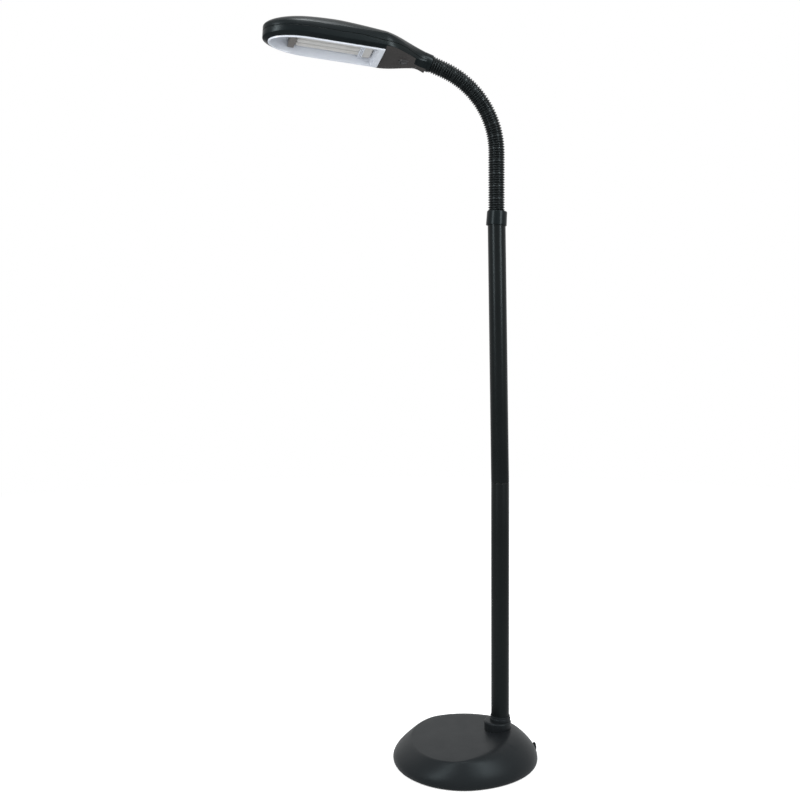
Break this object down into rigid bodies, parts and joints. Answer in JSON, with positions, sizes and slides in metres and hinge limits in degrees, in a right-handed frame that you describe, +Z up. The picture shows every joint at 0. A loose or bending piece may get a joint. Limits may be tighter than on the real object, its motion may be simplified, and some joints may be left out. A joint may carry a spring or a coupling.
{
  "type": "gooseneck reading floor lamp",
  "caption": "Black floor lamp with a weighted round base, two-piece pole, ribbed gooseneck and a long head with a fluorescent bulb.",
  "frame": {"origin": "on the pole's axis at floor level", "axes": "+Z up the pole, +X from the pole towards the lamp head, +Y to its left"},
  "size_m": [0.5355, 0.266, 1.4179],
  "materials": {
    "shell_black": "satin",
    "base_black": "satin",
    "pole_black": "satin",
    "hose_black": "satin",
    "weight_iron": "rough",
    "steel": "satin",
    "tray_white": "gloss",
    "tube_glass": "frosted",
    "bulb_ivory": "satin",
    "holder_grey": "matte",
    "moulded_black": "matte",
    "lead_black": "matte",
    "pad_rubber": "matte"
  },
  "bodies": {
    "stand": {"base_pad": "pad_rubber", "base_plate": "steel", "base_weight": "weight_iron", "base_cover": "base_black", "base_screws": "steel", "cord_inlet": "lead_black", "ballast": "moulded_black", "anchor_nut": "steel", "pole_socket": "base_black", "pole_ferrule": "base_black", "pole_lower": "pole_black", "foot_plug": "moulded_black", "nipple": "steel", "nipple_washer": "steel", "nipple_nut": "steel", "pole_coupler": "steel", "pole_upper": "pole_black", "top_plug": "moulded_black", "neck_stud": "steel", "neck_nut": "steel", "pole_lead": "lead_black", "collar": "shell_black", "gooseneck_01": "hose_black"},
    "link_02": {"gooseneck_02": "hose_black"},
    "link_03": {"gooseneck_03": "hose_black"},
    "link_04": {"gooseneck_04": "hose_black"},
    "link_05": {"gooseneck_05": "hose_black"},
    "link_06": {"gooseneck_06": "hose_black"},
    "link_07": {"gooseneck_07": "hose_black"},
    "link_08": {"gooseneck_08": "hose_black"},
    "link_09": {"gooseneck_09": "hose_black"},
    "link_10": {"gooseneck_10": "hose_black"},
    "link_11": {"gooseneck_11": "hose_black"},
    "link_12": {"gooseneck_12": "hose_black"},
    "link_13": {"gooseneck_13": "hose_black"},
    "head": {"gooseneck_14": "hose_black", "head_stud": "steel", "head_plug": "moulded_black", "head_nut": "steel", "head_top_shell": "shell_black", "head_lower_shell": "shell_black", "reflector_tray": "tray_white", "bulb_tubes": "tube_glass", "bulb_base": "bulb_ivory", "lampholder": "moulded_black", "bulb_support": "holder_grey", "switch_body": "moulded_black", "tray_screw": "steel", "shell_screw": "steel", "head_lead": "lead_black"},
    "rocker": {"rocker": "moulded_black"}
  },
  "joints": [
    {"name": "bend_1", "type": "hinge", "parent": "stand", "child": "link_02", "pos_m": [0.00743, 0, 1.0945], "axis": [0, 1, 0], "range_deg": [-8.5, 8.5]},
    {"name": "sway_2", "type": "hinge", "parent": "link_02", "child": "link_03", "pos_m": [0.00743, 0, 1.119], "axis": [1, 0, 0], "range_deg": [-6, 6]},
    {"name": "bend_3", "type": "hinge", "parent": "link_03", "child": "link_04", "pos_m": [0.00743, 0, 1.1435], "axis": [0, 1, 0], "range_deg": [-8.5, 8.5]},
    {"name": "sway_4", "type": "hinge", "parent": "link_04", "child": "link_05", "pos_m": [0.00743, 0, 1.168], "axis": [1, 0, 0], "range_deg": [-6, 6]},
    {"name": "bend_5", "type": "hinge", "parent": "link_05", "child": "link_06", "pos_m": [0.0076, 0, 1.1925], "axis": [0, 1, 0], "range_deg": [-8.5, 8.5]},
    {"name": "sway_6", "type": "hinge", "parent": "link_06", "child": "link_07", "pos_m": [0.01048, 0, 1.2168], "axis": [0.9817, 0, -0.1904], "range_deg": [-6, 6]},
    {"name": "bend_7", "type": "hinge", "parent": "link_07", "child": "link_08", "pos_m": [0.0169, 0, 1.24043], "axis": [0, 1, 0], "range_deg": [-8.5, 8.5]},
    {"name": "sway_8", "type": "hinge", "parent": "link_08", "child": "link_09", "pos_m": [0.02669, 0, 1.26286], "axis": [0.8847, 0, -0.4662], "range_deg": [-6, 6]},
    {"name": "bend_9", "type": "hinge", "parent": "link_09", "child": "link_10", "pos_m": [0.03966, 0, 1.28362], "axis": [0, 1, 0], "range_deg": [-8.5, 8.5]},
    {"name": "sway_10", "type": "hinge", "parent": "link_10", "child": "link_11", "pos_m": [0.05552, 0, 1.30226], "axis": [0.712, 0, -0.7022], "range_deg": [-6, 6]},
    {"name": "bend_11", "type": "hinge", "parent": "link_11", "child": "link_12", "pos_m": [0.07394, 0, 1.31838], "axis": [0, 1, 0], "range_deg": [-8.5, 8.5]},
    {"name": "sway_12", "type": "hinge", "parent": "link_12", "child": "link_13", "pos_m": [0.09452, 0, 1.33164], "axis": [0.4785, 0, -0.8781], "range_deg": [-6, 6]},
    {"name": "bend_13", "type": "hinge", "parent": "link_13", "child": "head", "pos_m": [0.11681, 0, 1.34175], "axis": [0, 1, 0], "range_deg": [-8.5, 8.5]},
    {"name": "rocker_tilt", "type": "hinge", "parent": "head", "child": "rocker", "pos_m": [0.19113, 0.00254, 1.35586], "axis": [-0.068, 0.981, 0.1819], "range_deg": [0, 10]}
  ]
}
